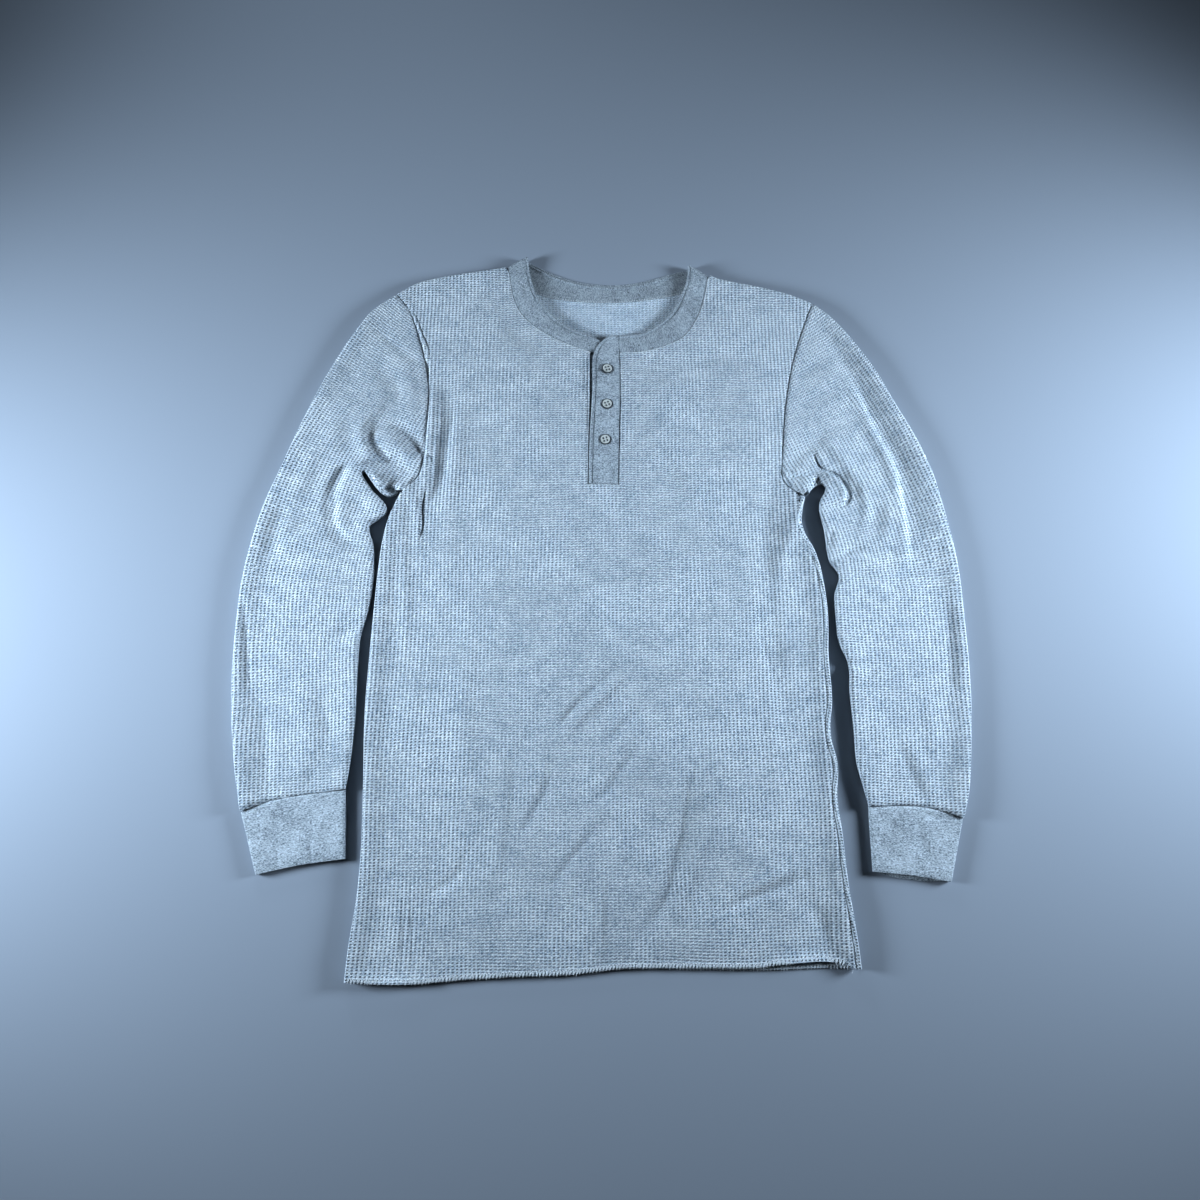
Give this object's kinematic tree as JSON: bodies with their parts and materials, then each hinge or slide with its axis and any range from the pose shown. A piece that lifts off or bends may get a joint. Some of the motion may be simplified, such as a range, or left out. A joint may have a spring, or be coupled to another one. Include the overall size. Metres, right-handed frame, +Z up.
{
  "type": "thermal top",
  "caption": "Long-sleeved waffle-knit thermal henley top lying flat with its front up: thin cloth walls, neckband, buttoned placket, set-in sleeves and jersey cuffs.",
  "frame": {"origin": "on the surface that the top lies on, at the middle of its box in plan", "axes": "+X to the wearer's left, +Y from the hem to the neck, +Z up, out of the front"},
  "size_m": [0.7213, 0.7473, 0.013],
  "materials": {
    "waffle_knit": "light heather-grey waffle knit, matt",
    "jersey": "heather-grey jersey, matt, darker flecks",
    "button": "grey translucent plastic with a soft gloss"
  },
  "bodies": {
    "root": {"back": "waffle_knit", "front": "waffle_knit", "sleeve_right": "waffle_knit", "sleeve_left": "waffle_knit", "cuff_right": "jersey", "cuff_left": "jersey", "neckband": "jersey", "placket_under": "jersey", "placket_over": "jersey", "button_1": "button", "button_2": "button", "button_3": "button"}
  },
  "joints": []
}
